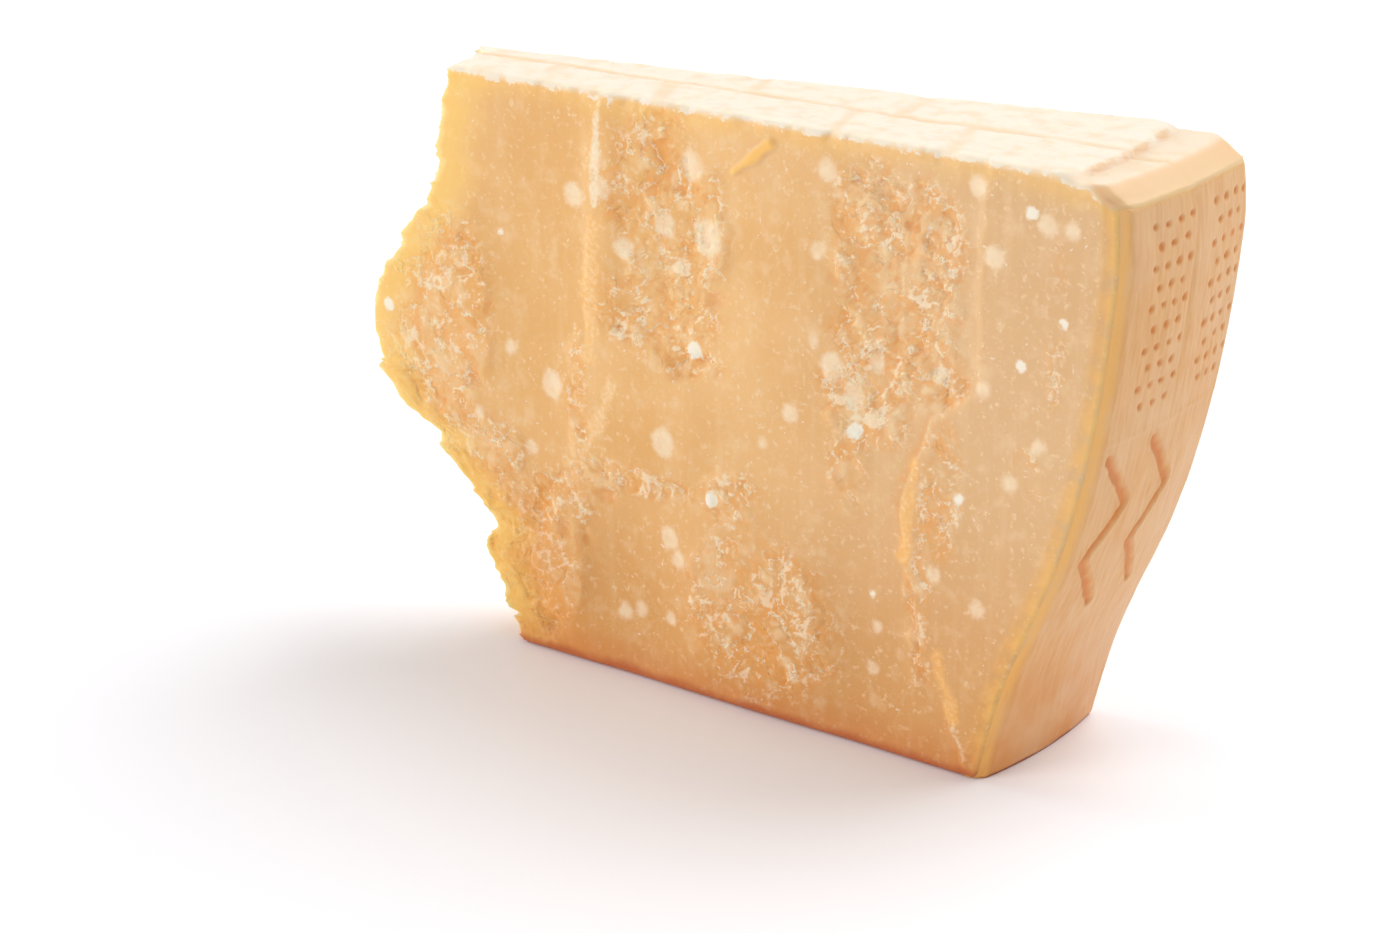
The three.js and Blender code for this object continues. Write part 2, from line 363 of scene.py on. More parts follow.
def rind_x(y, z, across):
    """The rind's X at a depth and a height, drawn in round both upright corners."""
    radius = WHEEL_RADIUS - curve_at(RIND_RECESS, z)
    arc = AXIS_X + np.sqrt(radius ** 2 - (y - AXIS_Y) ** 2)
    thickness = back_y(arc) - FRONT_Y
    to_corner = np.clip(np.minimum(across, 1 - across) * thickness / CORNER_RADIUS, 0, 1)
    return arc - CORNER_RADIUS * (1 - np.sqrt(1 - (1 - to_corner) ** 2))


def under_skin(z, across):
    """How far the paste draws in to leave room for the rind's skin."""
    to_side = np.minimum(across, 1 - across) * (back_y(LENGTH / 2) - FRONT_Y)
    to_end = np.minimum(z + 2, HEIGHT - RIM_DROP - z)
    return SKIN_INSET * smoothstep(*SKIN_BEGINS, np.minimum(to_side, to_end))


def rim_drop(inward, across):
    """How far the upper face has dropped at a distance in from the rind.

    The step is softer by the broken faces.
    """
    ledge = lerp(LEDGE_IN_FRONT, LEDGE_BEHIND, across)
    soft = STEP_SOFTNESS * smoothstep(0.12, 0.0, np.minimum(across, 1 - across))
    step = STEP_DROP * smoothstep(ledge + STEP_WIDTH + soft, ledge - soft, inward)
    t = np.clip(inward / SLOPE_WIDTH, 0, 1)
    slope = (RIM_DROP - STEP_DROP) * lerp(1 - t, 1 - smoothstep(0, 1, t), 0.3)
    return step + slope


def rounded_edge(distance):
    """How far a face draws in at a distance from its rounded edge."""
    t = np.clip(1 - distance / EDGE_RADIUS, 0, 1)
    return EDGE_RADIUS * (1 - np.sqrt(1 - t * t))


def upper_face(x, y):
    """The imprint of the cloth and the shelf in the wheel's upper face: its relief and its lines."""
    flat = np.stack([x, y, np.zeros_like(x)], axis=1)
    wander = 1.6 * layered_noise(flat, 20, 90)
    line = LINE_Y + LINE_SLOPE * (x - LINE_FROM)
    groove = 1 - smoothstep(0.5, 2.0, np.abs(y - line + wander))
    for place, side in SHORT_GROOVES:
        cross = 1 - smoothstep(0.8, 3.4, np.abs(x - place + 0.3 * y + 3 * wander))
        groove = np.maximum(groove, 0.6 * cross * smoothstep(-2, 3, side * (line - y)))
    groove = groove * smoothstep(-1.0, 0.2, layered_noise(flat, 9, 92))
    worn = layered_noise(flat, 5, 95)
    return -IMPRINT_DEPTH * groove + 0.3 * worn + 0.15 * noise(flat, 1.6, 98), groove


def wedge_points(column, across, up):
    """Points of the wedge's surface, and the fields that its material reads."""
    rim_z = up * (HEIGHT - RIM_DROP)
    rim_y = lerp(FRONT_Y, back_y(LENGTH / 2), across)
    rind_at = rind_x(rim_y, rim_z, across)
    rind_on_top = rind_x(rim_y, np.full_like(up, HEIGHT - RIM_DROP), across)
    rind_at = rind_at - under_skin(rim_z, across)
    x = lerp(tip_x(up * HEIGHT, across), rind_at, column)
    inward = (rind_on_top - tip_x(np.full_like(up, HEIGHT), across)) * (1 - column)
    drop = rim_drop(inward, across)
    z = up * (HEIGHT - drop)

    by_foot = lerp(FOOT_SHARE, 1, smoothstep(0, CALM_BY_FOOT, z))
    calm = smoothstep(0, CALM_BY_RIND, rind_at - x) * by_foot
    chipped = np.stack([x, across * 40, np.zeros_like(x)], axis=1)
    chip = CHIP_DEPTH * layered_noise(chipped, 11, 150, 4)
    chip = np.maximum(0, chip + CHIP_STEP_DEPTH * terraces(chipped, 7, 3, 151)[0])
    chip = chip * smoothstep(CHIP_FROM, CHIP_FULL, inward)
    front_out, front_fields = front_face(x, z)
    back_out, back_fields = back_face(x, z)
    top = HEIGHT - drop
    draw_in = rounded_edge(top - z) + rounded_edge(z) + chip * smoothstep(CHIP_REACH, 0, top - z)
    front = np.maximum(FRONT_Y - calm * front_out, -WIDTH / 2) + draw_in
    back = np.minimum(back_y(x) + calm * back_out, WIDTH / 2) - draw_in
    y = lerp(front, back, across)

    on_top = smoothstep(0.985, 1.0, up)
    imprint, groove = upper_face(x, y)
    z = z + on_top * np.minimum(imprint, 0)
    points = np.stack([np.clip(x, -LENGTH / 2, LENGTH / 2), y, np.clip(z, 0, HEIGHT)], axis=1)
    from_front = y - front
    from_back = back - y
    nearer = from_front < from_back
    ledge = lerp(LEDGE_IN_FRONT, LEDGE_BEHIND, across)
    to_edge = np.minimum(across, 1 - across)
    fields = {
        **{name: np.where(nearer, front_fields[name], back_fields[name]) for name in front_fields},
        "upper": on_top,
        "groove": groove * on_top,
        "seam": on_top * smoothstep(0.0, 0.15, to_edge) * np.exp(-((inward - ledge - 0.3) / 0.9) ** 2),
        "slope": np.maximum(0.3 * smoothstep(ledge + 1, ledge - 1, inward),
                            smoothstep(SLOPE_WIDTH + 1, SLOPE_WIDTH - 2, inward)),
        "from_front": from_front,
        "to_rind": rind_at - x,
        "to_tip": x - tip_x(up * HEIGHT, across),
        "below_top": top - z,
    }
    return points, fields


# Meshes

def spread(count):
    """Even shares from 0 to 1, set a little closer at both ends."""
    even = np.arange(count + 1) / count
    return 0.8 * even + 0.2 * (1 - np.cos(np.pi * even)) / 2


def coarser(index, count, step):
    """Moves the indices inside a face to every step-th one, and leaves its border."""
    moved = np.clip((index + step // 2) // step * step, step, count - step)
    inside = (index > 0) & (index < count)
    return np.where(inside, moved, index)


def box_shell(counts, steps):
    """The quads and corner indices of a divided box. steps says how coarse each face is inside."""
    quads = []
    for axis in range(3):
        a, b = [n for n in range(3) if n != axis]
        for side in (0, counts[axis]):
            i, j = np.meshgrid(np.arange(counts[a]), np.arange(counts[b]), indexing="ij")
            corners = []
            for da, db in ((0, 0), (1, 0), (1, 1), (0, 1)):
                place = [None, None, None]
                place[axis] = np.full(i.size, side)
                place[a], place[b] = (i + da).ravel(), (j + db).ravel()
                corners.append(np.stack(place, axis=1))
            outward = (side > 0) == (axis != 1)
            quads.append(np.stack(corners if outward else corners[::-1], axis=1))
    index = np.concatenate(quads).reshape(-1, 3)

    for (axis, side), step in steps.items():
        a, b = [n for n in range(3) if n != axis]
        here = index[:, axis] == side * counts[axis]
        inside = here & (index[:, a] > 0) & (index[:, a] < counts[a])
        inside &= (index[:, b] > 0) & (index[:, b] < counts[b])
        for n in (a, b):
            index[inside, n] = coarser(index[inside, n], counts[n], step)
    places, faces = np.unique(index, axis=0, return_inverse=True)
    return places, faces.reshape(-1, 4)


def without_repeats(faces):
    """Faces as lists, with corners that fell together dropped."""
    result = []
    for face in faces.tolist():
        kept = [corner for n, corner in enumerate(face) if corner != face[n - 1]]
        if len(kept) > 2 and len(set(kept)) == len(kept):
            result.append(kept)
    return result


def mesh_object(name, points, faces, fields):
    mesh = bpy.data.meshes.new(name)
    mesh.from_pydata((np.asarray(points) * MM).tolist(), [], faces)
    for field, values in fields.items():
        attribute = mesh.attributes.new(field, "FLOAT", "POINT")
        attribute.data.foreach_set("value", np.asarray(values, dtype=np.float32))
    mesh.polygons.foreach_set("use_smooth", [True] * len(mesh.polygons))
    mesh.validate()
    mesh.update()
    piece = bpy.data.objects.new(name, mesh)
    bpy.context.scene.collection.objects.link(piece)
    return piece


def make_paste():
    """The whole wedge, coarser inside its rind side, its back and its foot."""
    counts = (PASTE_COLUMNS, PASTE_LAYERS, PASTE_ROWS)
    places, faces = box_shell(counts, {(0, 1): 4, (1, 1): 2, (2, 0): 4})
    column = spread(PASTE_COLUMNS)[places[:, 0]]
    across = spread(PASTE_LAYERS)[places[:, 1]]
    up = spread(PASTE_ROWS)[places[:, 2]]
    points, fields = wedge_points(column, across, up)

    x, z = points[:, 0], points[:, 2]
    flat = np.stack([x, np.zeros_like(x), z], axis=1)
    bend = 0.7 * layered_noise(flat, 3.0, 120)
    near = fields["from_front"] < 6
    for name, spots in (("crystal", CRYSTALS), ("bright_crystal", BRIGHT_CRYSTALS)):
        inside = np.full(len(x), -2.0)
        for cx, cz, radius in spots:
            inside = np.maximum(inside, radius - np.hypot(x - cx, (z - cz) * 0.88) + bend)
        fields[name] = np.where(near, np.clip(inside, -2, 1.5), -2)
    return mesh_object("cheese_paste", points, without_repeats(faces), fields)


# The rind

def dot_places():
    """Staggered rows of pricked dots, in two bands: depth from the front face, and height."""
    for band in DOT_BANDS:
        for row in range(DOT_ROWS):
            shares = (-1.5, -0.5, 0.5, 1.5) if row % 2 == 0 else (-1, 0, 1)
            for share in shares:
                yield band + share * DOT_PITCH, DOT_TOP - row * DOT_PITCH


def rind_relief(depth, z):
    """How far the rind stands out, and how deep its dots and strokes are."""
    flat = np.stack([depth, z, np.zeros_like(z)], axis=1)
    shift = 0.5 * noise(flat, 9, 130)
    jitter = 0.25 * noise(flat, 2.2, 131)
    marks = np.zeros_like(z)
    pressed = np.zeros_like(z)
    for place, height in dot_places():
        away = np.hypot(depth - place + shift, (z - height + shift) * 1.15) / DOT_RADIUS + jitter
        hole = 1 - smoothstep(0.45, 1.15, away)
        pressed = np.maximum(pressed, DOT_DEPTH * hole)
        marks = np.maximum(marks, hole)
    stroke = np.full_like(z, 99.0)
    for zigzag in ZIGZAGS:
        for start, end in zip(zigzag, zigzag[1:]):
            stroke = np.minimum(stroke, to_segment(depth + shift, z - shift, start, end))
    cut = 1 - smoothstep(0.35, 1.25, stroke / GROOVE_WIDTH + jitter)
    pressed = np.maximum(pressed, GROOVE_DEPTH * cut)
    burr = np.exp(-((stroke - 1.4 * GROOVE_WIDTH) / 0.7) ** 2)
    slanted = np.stack([depth + 0.22 * z, z * 0.09, np.zeros_like(z)], axis=1)
    fibres = 0.09 * noise(slanted, 1.7, 135) + 0.12 * noise(slanted, 4.0, 136)
    dents = 0.35 * layered_noise(flat, 11, 137)
    seam = SEAM_RISE * np.exp(-((z - SEAM_HEIGHT + 0.8 * shift) / 0.7) ** 2)
    crease = np.exp(-((depth - CREASE_AT + shift) / 0.8) ** 2)
    crease = CREASE_DEPTH * crease * smoothstep(CREASE_FROM, CREASE_FROM + 10, z)
    out = fibres + dents + seam - crease + 0.25 * burr - pressed
    return out, np.maximum(marks, cut)


def make_rind():
    """The skin of the wheel, just proud of the paste, with its border sunk into it."""
    counts = (4, RIND_LAYERS, RIND_ROWS)
    places, faces = box_shell(counts, {(0, 0): 4})
    across = spread(RIND_LAYERS)[places[:, 1]]
    up = spread(RIND_ROWS)[places[:, 2]]
    outside = places[:, 0] / 4
    z = SKIN_FOOT + up * (HEIGHT - RIM_DROP - SKIN_CLEAR)
    rim_y = lerp(FRONT_Y, back_y(LENGTH / 2), across)
    surface = rind_x(rim_y, z, across)
    thickness = back_y(surface) - FRONT_Y
    depth = across * thickness
    out, marks = rind_relief(depth, z)

    flat = np.stack([depth, z, np.zeros_like(z)], axis=1)
    ragged = 0.6 * layered_noise(flat, 9, 140)
    to_end = np.minimum(z + 2, HEIGHT - RIM_DROP - z + 1.5)
    border = np.minimum(np.minimum(depth, thickness - depth), to_end)
    proud = lerp(-BORDER_SUNK, SKIN_PROUD, smoothstep(1.0, 3.5, border + ragged))
    x = surface + lerp(-SKIN_THICKNESS, proud + out * smoothstep(2, 6, border), outside)
    y = lerp(FRONT_Y + SIDE_INSET, back_y(x) - SIDE_INSET, across)
    points = np.stack([np.clip(x, -LENGTH / 2, LENGTH / 2), np.clip(y, -WIDTH / 2, WIDTH / 2), z], axis=1)
    fields = {"mark": marks, "border": border + ragged}
    return mesh_object("cheese_rind", points, without_repeats(faces), fields)


# Materials

def linear(red, green, blue):
    """A colour given as 0 to 255 on screen, in Blender's linear values."""
    def one(value):
        value /= 255
        return value / 12.92 if value <= 0.04045 else ((value + 0.055) / 1.055) ** 2.4
    return (one(red), one(green), one(blue), 1.0)


class Nodes:
    """Short calls for building one node tree."""

    def __init__(self, name):
        self.material = bpy.data.materials.new(name)
        self.material.use_nodes = True
        self.tree = self.material.node_tree
        self.shader = self.tree.nodes["Principled BSDF"]
        self.place = self.add("ShaderNodeTexCoord").outputs["Object"]

    def add(self, kind, **settings):
        node = self.tree.nodes.new(kind)
        for key, value in settings.items():
            setattr(node, key, value)
        return node

    def plug(self, source, socket):
        if hasattr(source, "is_output"):
            self.tree.links.new(source, socket)
        else:
            socket.default_value = source

    def field(self, name):
        return self.add("ShaderNodeAttribute", attribute_name=name).outputs["Fac"]

    def noise(self, scale, detail=4.0, stretch=None, roughness=0.55):
        node = self.add("ShaderNodeTexNoise")
        node.inputs["Scale"].default_value = scale
        node.inputs["Detail"].default_value = detail
        node.inputs["Roughness"].default_value = roughness
        self.plug(self.stretched(stretch) if stretch else self.place, node.inputs["Vector"])
        return node.outputs["Fac"]

    def stretched(self, stretch):
        node = self.add("ShaderNodeMapping")
        node.inputs["Scale"].default_value = stretch
        self.plug(self.place, node.inputs["Vector"])
        return node.outputs["Vector"]

    def height(self):
        node = self.add("ShaderNodeSeparateXYZ")
        self.plug(self.place, node.inputs[0])
        return node.outputs["Z"]

    def bent(self, scale, amount):
        """Places that a noise moves about, by up to half the amount."""
        bend = self.add("ShaderNodeTexNoise")
        bend.inputs["Scale"].default_value = scale
        bend.inputs["Detail"].default_value = 0.0
        self.plug(self.place, bend.inputs["Vector"])
        shift = self.add("ShaderNodeVectorMath", operation="MULTIPLY_ADD")
        self.plug(bend.outputs["Color"], shift.inputs[0])
        shift.inputs[1].default_value = [amount] * 3
        self.plug(self.place, shift.inputs[2])
        return shift.outputs["Vector"]

    def lumps(self, scale, place):
        """Uneven rounded lumps: near 0 in the middle of each, and about 1 between them."""
        node = self.add("ShaderNodeTexVoronoi")
        node.inputs["Scale"].default_value = scale
        self.plug(place, node.inputs["Vector"])
        return node.outputs["Distance"]

    def math(self, operation, a, b=0.0):
        node = self.add("ShaderNodeMath", operation=operation)
        self.plug(a, node.inputs[0])
        self.plug(b, node.inputs[1])
        return node.outputs[0]

    def ramp(self, value, low, high):
        """0 below low and 1 above high, in a smooth step."""
        node = self.add("ShaderNodeMapRange", interpolation_type="SMOOTHSTEP")
        self.plug(value, node.inputs["Value"])
        node.inputs["From Min"].default_value = low
        node.inputs["From Max"].default_value = high
        return node.outputs["Result"]

    def flakes(self, scale, count):
        """Steps in a noise: their height, the lip above each step, whose pale colour is partly a painted
        highlight, and the hollow below it, where shade is painted.
        """
        level = self.math("MULTIPLY", self.noise(scale, 5, None, 0.6), count)
        part = self.math("FRACT", level)
        steps = self.math("ADD", self.math("SUBTRACT", level, part), self.ramp(part, 0.0, 0.16))
        lip = self.math("MULTIPLY", self.ramp(part, 0.0, 0.03), self.ramp(part, 0.2, 0.07))
        return steps, lip, self.ramp(part, 0.62, 0.93)

    def mix(self, share, first, second):
        node = self.add("ShaderNodeMix", data_type="RGBA")
        self.plug(share, node.inputs[0])
        self.plug(first, node.inputs[6])
        self.plug(second, node.inputs[7])
        return node.outputs[2]

    def bump(self, height, distance, strength=1.0, under=None):
        node = self.add("ShaderNodeBump")
        node.inputs["Distance"].default_value = distance
        self.plug(strength, node.inputs["Strength"])
        self.plug(height, node.inputs["Height"])
        if under is not None:
            self.plug(under, node.inputs["Normal"])
        return node.outputs["Normal"]

    def finish(self, colour, roughness, normal, translucence, reach):
        shader = self.shader.inputs
        self.plug(colour, shader["Base Color"])
        self.plug(roughness, shader["Roughness"])
        self.plug(normal, shader["Normal"])
        shader["Specular IOR Level"].default_value = 0.35
        shader["Subsurface Weight"].default_value = translucence
        shader["Subsurface Radius"].default_value = (1.0, 0.7, 0.42)
        shader["Subsurface Scale"].default_value = reach
        return self.material


STRAW = linear(241, 195, 133)
DEEP_STRAW = linear(233, 181, 112)
CREAM_AND_PAINTED_HIGHLIGHT = linear(250, 226, 184)
# Painted shade in cracks and holes, and under the big flake's edge
PAINTED_CRACK_SHADE = linear(236, 158, 78)
GOLD = linear(255, 196, 104)
# Painted glow where light comes through the tip and the upper edge, and paler where the tip is thinnest
PAINTED_GLOW_GOLD = linear(255, 210, 112)
PAINTED_GLOW_PALE = linear(255, 228, 160)
# Painted shade towards the rind
PAINTED_SHADE_BY_RIND = linear(222, 184, 140)
LOW = linear(220, 156, 82)
# Painted shade in the hollows of the torn paste, and a painted glow at the low corner by the tip
PAINTED_SHADE_AND_GLOW_ORANGE = linear(240, 164, 76)
# Painted shade along the foot
PAINTED_FOOT_SHADE = linear(216, 132, 66)
CRYSTAL = linear(252, 231, 198)
# Pale frayed lips, partly a painted highlight on the step edges
LIP_AND_PAINTED_HIGHLIGHT = linear(255, 240, 212)
WHITE = linear(254, 246, 230)
DUSTY = linear(244, 233, 214)
WORN = linear(238, 208, 168)
SEAM = linear(232, 186, 134)
SLOPE = linear(240, 200, 150)
TAN = linear(238, 185, 122)
DARK_TAN = linear(228, 160, 92)
MARK = linear(228, 138, 60)
PALE_TAN = linear(238, 196, 148)
# Painted contact shadow at the very bottom of the foot
PAINTED_CONTACT_SHADOW = linear(190, 92, 48)
RIND_LOW = linear(226, 146, 66)


class PasteNodes(Nodes):
    """The nodes of the paste, with the noises that its parts share."""

    def __init__(self):
        super().__init__("cheese_paste")
        self.torn = self.field("torn")
        self.wide, self.medium, self.small = self.noise(110), self.noise(150), self.noise(300, 3)
        self.fine, self.finest = self.noise(480, 2), self.noise(700)
        bent = self.bent(240, 0.005)
        self.big_lumps, self.small_lumps = self.lumps(125, bent), self.lumps(380, bent)
        self.uneven = self.math("MULTIPLY", self.wide, 8.0)
        self.ragged = self.math("MULTIPLY", self.math("SUBTRACT", self.finest, 0.5), 1.6)


def ground_colour(n):
    """Straw, with painted shade towards the rind, deeper low down, and with pale streaks and specks."""
    broad = n.ramp(n.noise(24, 2), 0.35, 0.68)
    colour = n.mix(broad, STRAW, DEEP_STRAW)
    # Painted shade towards the rind
    colour = n.mix(n.math("MULTIPLY", n.ramp(n.field("to_rind"), 130, 20), 0.7), colour, PAINTED_SHADE_BY_RIND)
    colour = n.mix(n.math("MULTIPLY", n.ramp(n.height(), 0.1, 0.0), 0.75), colour, LOW)
    streaks = n.ramp(n.noise(70, 3, (3.0, 3.0, 0.3)), 0.48, 0.75)
    colour = n.mix(n.math("MULTIPLY", streaks, 0.12), colour, CREAM_AND_PAINTED_HIGHLIGHT)
    mottle = n.math("MULTIPLY", n.ramp(n.medium, 0.5, 0.75), 0.28)
    speckle = n.math("MULTIPLY", n.ramp(n.fine, 0.56, 0.74), 0.4)
    return n.mix(n.math("MAXIMUM", mottle, speckle), colour, CREAM_AND_PAINTED_HIGHLIGHT)


def torn_hollows(n, colour, hollow):
    """Painted shade where the paste is torn: in its cracks and holes, under the big flake's edge, in the
    low parts of its relief, below flakes and between crumbs.
    """
    painted_gap_shade = n.math("MULTIPLY", n.field("crack"), n.ramp(n.small, 0.3, 0.55))
    colour = n.mix(n.math("MULTIPLY", painted_gap_shade, 0.7), colour, PAINTED_CRACK_SHADE)
    # Painted shade between the lumps and below each flake's step
    between = n.math("MULTIPLY", n.ramp(n.small_lumps, 0.5, 0.85), 0.7)
    between = n.math("MAXIMUM", n.ramp(n.big_lumps, 0.5, 0.85), between)
    hollow = n.math("MAXIMUM", n.math("MULTIPLY", hollow, 0.6), n.math("MULTIPLY", between, 0.5))
    colour = n.mix(n.math("MULTIPLY", n.math("MULTIPLY", hollow, n.torn), 0.8), colour, PAINTED_SHADE_AND_GLOW_ORANGE)
    return n.mix(n.math("MULTIPLY", n.field("deep"), 0.45), colour, PAINTED_SHADE_AND_GLOW_ORANGE)


def torn_tops(n, colour, lip):
    """Painted highlights on the tops of crumbs and on raised parts, pale frayed lips of flakes that are
    partly a painted highlight, and pale and golden ridges, partly a painted highlight along them.
    """
    # Painted highlight on the tops of lumps and on the raised parts of the relief
    tops = n.math("MULTIPLY", n.ramp(n.small_lumps, 0.45, 0.12), 0.8)
    tops = n.math("MAXIMUM", n.ramp(n.big_lumps, 0.42, 0.1), tops)
    tops = n.math("MULTIPLY", n.math("MULTIPLY", tops, n.torn), 0.45)
    tops = n.math("MAXIMUM", tops, n.math("MULTIPLY", n.field("raised"), 0.35))
    colour = n.mix(tops, colour, CREAM_AND_PAINTED_HIGHLIGHT)
    lip = n.math("MULTIPLY", lip, n.ramp(n.small, 0.42, 0.56))
    lip = n.math("MULTIPLY", lip, n.math("ADD", n.math("MULTIPLY", n.torn, 0.8), 0.08))
    fray = n.ramp(n.math("ADD", n.field("fray"), n.ragged), 0.35, 0.85)
    frayed = n.math("MAXIMUM", lip, n.math("MULTIPLY", fray, 0.7))
    frayed = n.math("MAXIMUM", frayed, n.ramp(n.math("ADD", n.field("pale"), n.ragged), 0.1, 1.3))
    colour = n.mix(n.math("MULTIPLY", frayed, 0.8), colour, LIP_AND_PAINTED_HIGHLIGHT)
    return n.mix(n.math("MULTIPLY", n.field("yellow"), 0.8), colour, GOLD)


def thin_edges(n, colour):
    """Painted glow of the light that comes through the tip, the upper edge and the low corner by the tip.
    """
    from_tip = n.math("ADD", n.field("to_tip"), n.uneven)
    # Painted glow at the low corner by the tip
    low = n.math("MULTIPLY", n.ramp(from_tip, 45, 10), n.ramp(n.height(), 0.07, 0.03))
    colour = n.mix(n.math("MULTIPLY", low, 0.65), colour, PAINTED_SHADE_AND_GLOW_ORANGE)
    # Painted glow along the tip, stronger near the front face and palest where it is thinnest
    outer = n.ramp(n.math("ADD", n.field("from_front"), n.uneven), 16, 4)
    glow = n.math("ADD", 0.35, n.math("MULTIPLY", outer, 0.3))
    glow = n.math("MULTIPLY", n.ramp(from_tip, 24, 6), glow)
    colour = n.mix(glow, colour, PAINTED_GLOW_GOLD)
    thin = n.math("MULTIPLY", n.ramp(from_tip, 6.5, 4), outer)
    colour = n.mix(n.math("MULTIPLY", thin, 0.55), colour, PAINTED_GLOW_PALE)
    # Painted glow along the upper edge
    below = n.math("ADD", n.field("below_top"), n.uneven)
    return n.mix(n.math("MULTIPLY", n.ramp(below, 14, 4), 0.4), colour, PAINTED_GLOW_GOLD)


def white_crystals(n, colour):
    """The crystals, from cloudy patches down to flecks."""
    cloudy = n.math("ADD", 0.45, n.math("MULTIPLY", n.ramp(n.small, 0.2, 0.7), 0.35))
    crystal = n.ramp(n.math("ADD", n.field("crystal"), n.ragged), -1.0, 1.3)
    colour = n.mix(n.math("MULTIPLY", crystal, cloudy), colour, CRYSTAL)
    bright = n.ramp(n.math("ADD", n.field("bright_crystal"), n.ragged), -0.4, 0.6)
    colour = n.mix(n.math("MULTIPLY", bright, 0.85), colour, WHITE)
    flecks = n.math("MULTIPLY", n.ramp(n.small_lumps, 0.17, 0.08), n.ramp(n.wide, 0.5, 0.62))
    return n.mix(n.math("MULTIPLY", flecks, 0.5), colour, WHITE)


def corner_and_foot(n, colour):
    """The golden corner by the rind, the frosted upper edge, and painted shade with a painted contact
    shadow along the foot.
    """
    corner = n.math("MULTIPLY", n.ramp(n.field("to_rind"), 5.0, 0.5), n.ramp(n.medium, 0.25, 0.6))
    colour = n.mix(n.math("MULTIPLY", corner, 0.65), colour, GOLD)
    edge = n.math("ADD", n.field("below_top"), n.math("MULTIPLY", n.small, 10.0))
    frosted = n.math("MULTIPLY", n.ramp(edge, 6.9, 6.1), n.ramp(n.field("to_rind"), 1.5, 6.0))
    colour = n.mix(n.math("MULTIPLY", frosted, 0.85), colour, DUSTY)
    # Painted shade along the foot, and a painted contact shadow at its very bottom
    foot = n.math("ADD", n.height(), n.math("MULTIPLY", n.wide, 0.004))
    colour = n.mix(n.math("MULTIPLY", n.ramp(foot, 0.018, 0.004), 0.5), colour, PAINTED_FOOT_SHADE)
    return n.mix(n.math("MULTIPLY", n.ramp(foot, 0.0065, 0.003), 0.8), colour, PAINTED_CONTACT_SHADOW)


def dusty_face(n):
    """The wheel's upper face, worn in its grooves and on the slope of its rim."""
    colour = n.mix(n.math("MULTIPLY", n.ramp(n.medium, 0.42, 0.75), 0.55), DUSTY, WORN)
    colour = n.mix(n.math("MULTIPLY", n.field("groove"), 0.9), colour, WORN)
    seam = n.math("MULTIPLY", n.field("seam"), n.ramp(n.medium, 0.25, 0.6))
    colour = n.mix(n.math("MULTIPLY", seam, 0.85), colour, SEAM)
    return n.mix(n.field("slope"), colour, SLOPE)


def paste_material():
    """Straw-coloured paste. Its fields say where it is torn, cracked, thin, dusty or crystalline."""
    n = PasteNodes()
    steps, lip, hollow = n.flakes(60, 6.0)
    colour = torn_hollows(n, ground_colour(n), hollow)
    colour = torn_tops(n, colour, lip)
    colour = thin_edges(n, colour)
    colour = white_crystals(n, colour)
    colour = corner_and_foot(n, colour)
    colour = n.mix(n.field("upper"), colour, dusty_face(n))
    normal = n.bump(n.finest, 0.0003, n.ramp(n.torn, -0.5, 1.2))
    raised = n.math("ADD", n.math("MULTIPLY", n.big_lumps, -2.0), steps)
    normal = n.bump(raised, 0.0006, n.math("MULTIPLY", n.torn, 0.6), normal)
    roughness = n.math("ADD", 0.42, n.math("MULTIPLY", n.torn, 0.12))
    return n.finish(colour, roughness, normal, 0.5, 0.004)


def rind_material():
    """A tan skin with fibres that run up it, darker in its dots and strokes."""
    n = Nodes("cheese_rind")
    fibre = n.noise(140, 5, (1.0, 5.0, 0.6))
    colour = n.mix(n.math("MULTIPLY", n.ramp(fibre, 0.35, 0.7), 0.65), TAN, DARK_TAN)
    colour = n.mix(n.math("MULTIPLY", n.ramp(n.height(), 0.055, 0.0), 0.9), colour, RIND_LOW)
    colour = n.mix(n.math("MULTIPLY", n.ramp(n.noise(35, 3), 0.4, 0.7), 0.5), colour, PALE_TAN)
    colour = n.mix(n.math("MULTIPLY", n.field("mark"), 0.85), colour, MARK)
    border = n.math("MULTIPLY", n.ramp(n.field("border"), 3.4, 1.2), n.ramp(fibre, 0.2, 0.6))
    colour = n.mix(n.math("MULTIPLY", border, 0.65), colour, GOLD)
    normal = n.bump(n.noise(900, 4, (1.0, 3.0, 0.5)), 0.0003, 0.4)
    normal = n.bump(fibre, 0.0006, 0.35, normal)
    return n.finish(colour, 0.42, normal, 0.1, 0.0015)


# The set

CAMERA_EYE = Vector((414.0, -650.9, 376.8)) * MM
CAMERA_YAW, CAMERA_PITCH = math.radians(124.26), math.radians(22.02)
LENS, SENSOR = 72.0, 36.0
FLOOR_HALF, FLOOR_COLOUR = 6.0, (0.945, 0.945, 0.98, 1)
WORLD_COLOUR, WORLD_STRENGTH = (0.98, 0.985, 1.0, 1), 0.42
LIT_POINT = (0, 0, 0.09)


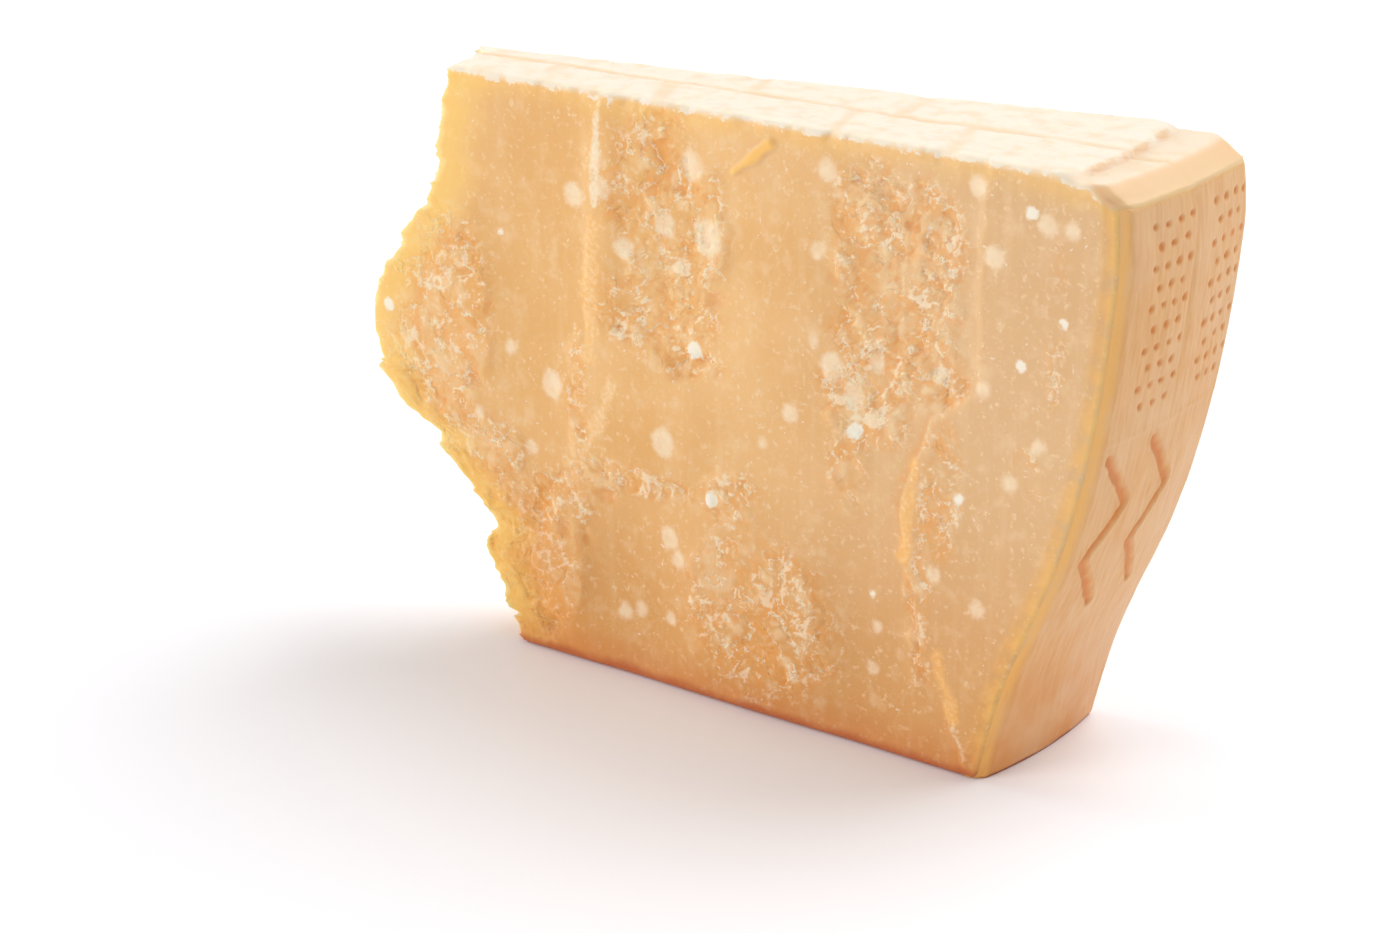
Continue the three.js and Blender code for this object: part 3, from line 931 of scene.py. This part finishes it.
def make_camera():
    data = bpy.data.cameras.new("camera")
    data.lens, data.sensor_width = LENS, SENSOR
    camera = bpy.data.objects.new("camera", data)
    camera.location = CAMERA_EYE
    level = math.cos(CAMERA_PITCH)
    ahead, aside = math.cos(CAMERA_YAW) * level, math.sin(CAMERA_YAW) * level
    forward = Vector((ahead, aside, -math.sin(CAMERA_PITCH)))
    camera.rotation_euler = forward.to_track_quat("-Z", "Y").to_euler()
    bpy.context.scene.collection.objects.link(camera)
    bpy.context.scene.camera = camera


def make_floor():
    mesh = bpy.data.meshes.new("floor")
    corners = [(a * FLOOR_HALF, b * FLOOR_HALF, 0) for a, b in ((-1, -1), (1, -1), (1, 1), (-1, 1))]
    mesh.from_pydata(corners, [], [(0, 1, 2, 3)])
    floor = bpy.data.objects.new("floor", mesh)
    bpy.context.scene.collection.objects.link(floor)
    n = Nodes("floor")
    n.shader.inputs["Base Color"].default_value = FLOOR_COLOUR
    n.shader.inputs["Roughness"].default_value = 0.6
    mesh.materials.append(n.material)


def make_light(name, place, size, power, colour=(1, 1, 1)):
    """A round soft light, with its size in metres and its power in watts."""
    data = bpy.data.lights.new(name, "AREA")
    data.shape, data.size, data.energy, data.color = "DISK", size, power, colour
    light = bpy.data.objects.new(name, data)
    light.location = place
    light.rotation_euler = (Vector(LIT_POINT) - Vector(place)).to_track_quat("-Z", "Y").to_euler()
    bpy.context.scene.collection.objects.link(light)


def make_light_and_air():
    world = bpy.data.worlds.new("studio")
    world.use_nodes = True
    background = world.node_tree.nodes["Background"].inputs
    background["Color"].default_value = WORLD_COLOUR
    background["Strength"].default_value = WORLD_STRENGTH
    bpy.context.scene.world = world
    bpy.context.scene.view_settings.view_transform = "Standard"
    make_light("key", (1.0, 1.9, 2.8), 3.2, 88)
    make_light("top", (-0.6, 0.6, 3.0), 2.4, 14)
    make_light("side", (-2.8, -0.2, 1.0), 1.2, 20)
    make_light("front", (-2.0, -2.9, 1.5), 2.0, 53, (1.0, 0.98, 0.96))


def main():
    make_camera()
    make_floor()
    make_light_and_air()
    dressed = ((make_paste(), paste_material()), (make_rind(), rind_material()))
    for piece, material in dressed:
        piece.data.materials.append(material)
        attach(piece, "root")
        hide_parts("cheese")


main()
